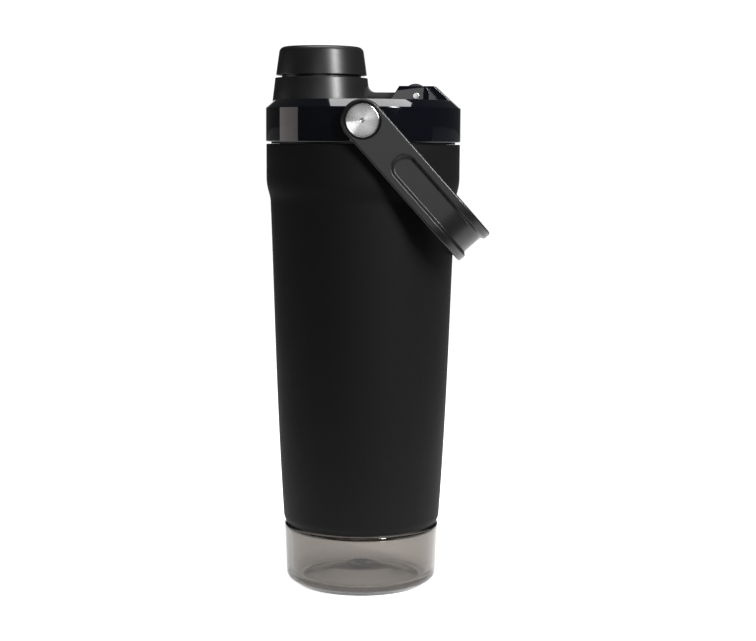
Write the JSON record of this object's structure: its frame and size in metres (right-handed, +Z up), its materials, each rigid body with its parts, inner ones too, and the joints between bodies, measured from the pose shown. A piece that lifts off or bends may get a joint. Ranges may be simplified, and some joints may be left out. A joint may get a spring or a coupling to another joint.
{
  "type": "insulated shaker bottle",
  "caption": "Insulated steel shaker bottle with a screw lid, tethered drinking cap, swing carry handle, mixing grid and a screw-off clear storage cup under its base.",
  "frame": {"origin": "centre of the storage cup's flat foot, on the bottle's axis", "axes": "+Z up along the bottle, +X towards the cap's hinge and the resting handle"},
  "size_m": [0.1073, 0.1032, 0.2618],
  "materials": {
    "powder_coat": "fine-textured matte black powder coat",
    "bare_steel": "brushed stainless",
    "gloss_black": "high-gloss smoky black",
    "satin_black": "fine satin black",
    "smoke_clear": "clear smoky grey, glossy",
    "silicone": "soft black silicone",
    "inner_plastic": "dark grey food-grade moulding"
  },
  "bodies": {
    "bottle": {"outer_shell": "powder_coat", "inner_liner": "bare_steel", "shell_base_disc": "bare_steel", "getter_pellet": "satin_black", "vacuum_seal_plug": "satin_black", "base_thread_ring": "satin_black"},
    "lid_seal_body": {"lid_gasket": "silicone"},
    "lid": {"lid_shell": "gloss_black", "lid_core": "inner_plastic", "mixing_grid": "inner_plastic", "spout_collar": "gloss_black", "hinge_pin": "bare_steel", "pivot_inserts": "bare_steel", "pivot_screws": "bare_steel", "pivot_washers": "bare_steel"},
    "handle": {"handle_bail": "satin_black", "handle_bushes": "inner_plastic"},
    "cap_carrier": {"tether_arm": "satin_black"},
    "cap": {"cap_shell": "satin_black", "cap_core": "satin_black", "cap_seal": "silicone", "cap_clip_ring": "bare_steel"},
    "cup_seal_body": {"cup_gasket": "silicone"},
    "storage_cup_body": {"storage_cup": "smoke_clear"}
  },
  "joints": [
    {"name": "lid_rise", "type": "slide", "parent": "bottle", "child": "lid_seal_body", "axis": [0, 0, 1], "range_m": [0, 0.01601]},
    {"name": "lid_twist", "type": "hinge", "parent": "lid_seal_body", "child": "lid", "pos_m": [0, 0, 0.21], "axis": [0, 0, 1], "range_deg": [0, 720]},
    {"name": "handle_swing", "type": "hinge", "parent": "lid", "child": "handle", "pos_m": [0, 0, 0.2262], "axis": [0, -1, 0], "range_deg": [0, 276]},
    {"name": "cap_flip", "type": "hinge", "parent": "lid", "child": "cap_carrier", "pos_m": [0.025, 0, 0.23835], "axis": [0, 1, 0], "range_deg": [0, 128]},
    {"name": "cap_twist", "type": "hinge", "parent": "cap_carrier", "child": "cap", "pos_m": [-0.0203, 0, 0.25], "axis": [0, 0, 1], "range_deg": [-90, 0]},
    {"name": "cup_drop", "type": "slide", "parent": "bottle", "child": "cup_seal_body", "axis": [0, 0, -1], "range_m": [0, 0.01201]},
    {"name": "cup_twist", "type": "hinge", "parent": "cup_seal_body", "child": "storage_cup_body", "pos_m": [0, 0, 0.035], "axis": [0, 0, -1], "range_deg": [0, 540]}
  ],
  "couplings": [
    {"joint": "lid_rise", "follows": "lid_twist", "m_per_rad": 0.0012732},
    {"joint": "cup_drop", "follows": "cup_twist", "m_per_rad": 0.0012732}
  ]
}
